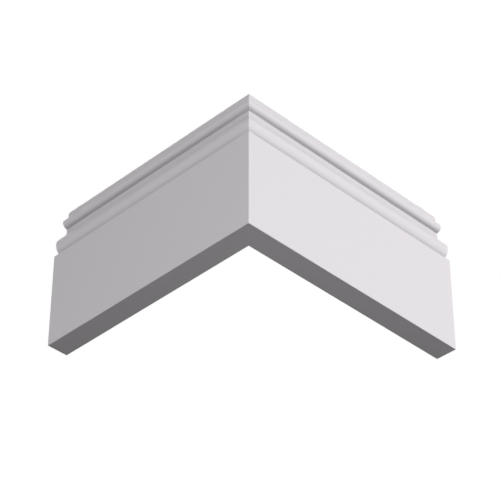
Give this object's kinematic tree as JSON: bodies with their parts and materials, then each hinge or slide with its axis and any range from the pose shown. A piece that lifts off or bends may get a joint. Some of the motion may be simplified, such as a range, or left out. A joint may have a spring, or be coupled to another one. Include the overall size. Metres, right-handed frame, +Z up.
{
  "type": "mitred skirting board corner",
  "caption": "Outside corner of moulded skirting board: two mitred lengths with a tall plain face, a quirked torus, a cove, a bead and a rounded top.",
  "frame": {"origin": "the wall's outside corner at floor level, which is the inner bottom corner of the two backs", "axes": "+Z up; the left board runs along X with its plain face towards -Y and its back on the plane y = 0; the right board runs along Y with its plain face towards +X and its back on the plane x = 0"},
  "size_m": [0.2293, 0.2368, 0.147],
  "materials": {
    "white_board": "factory-primed matte white, smooth"
  },
  "bodies": {
    "root": {"left_board": "white_board", "right_board": "white_board"}
  },
  "joints": []
}
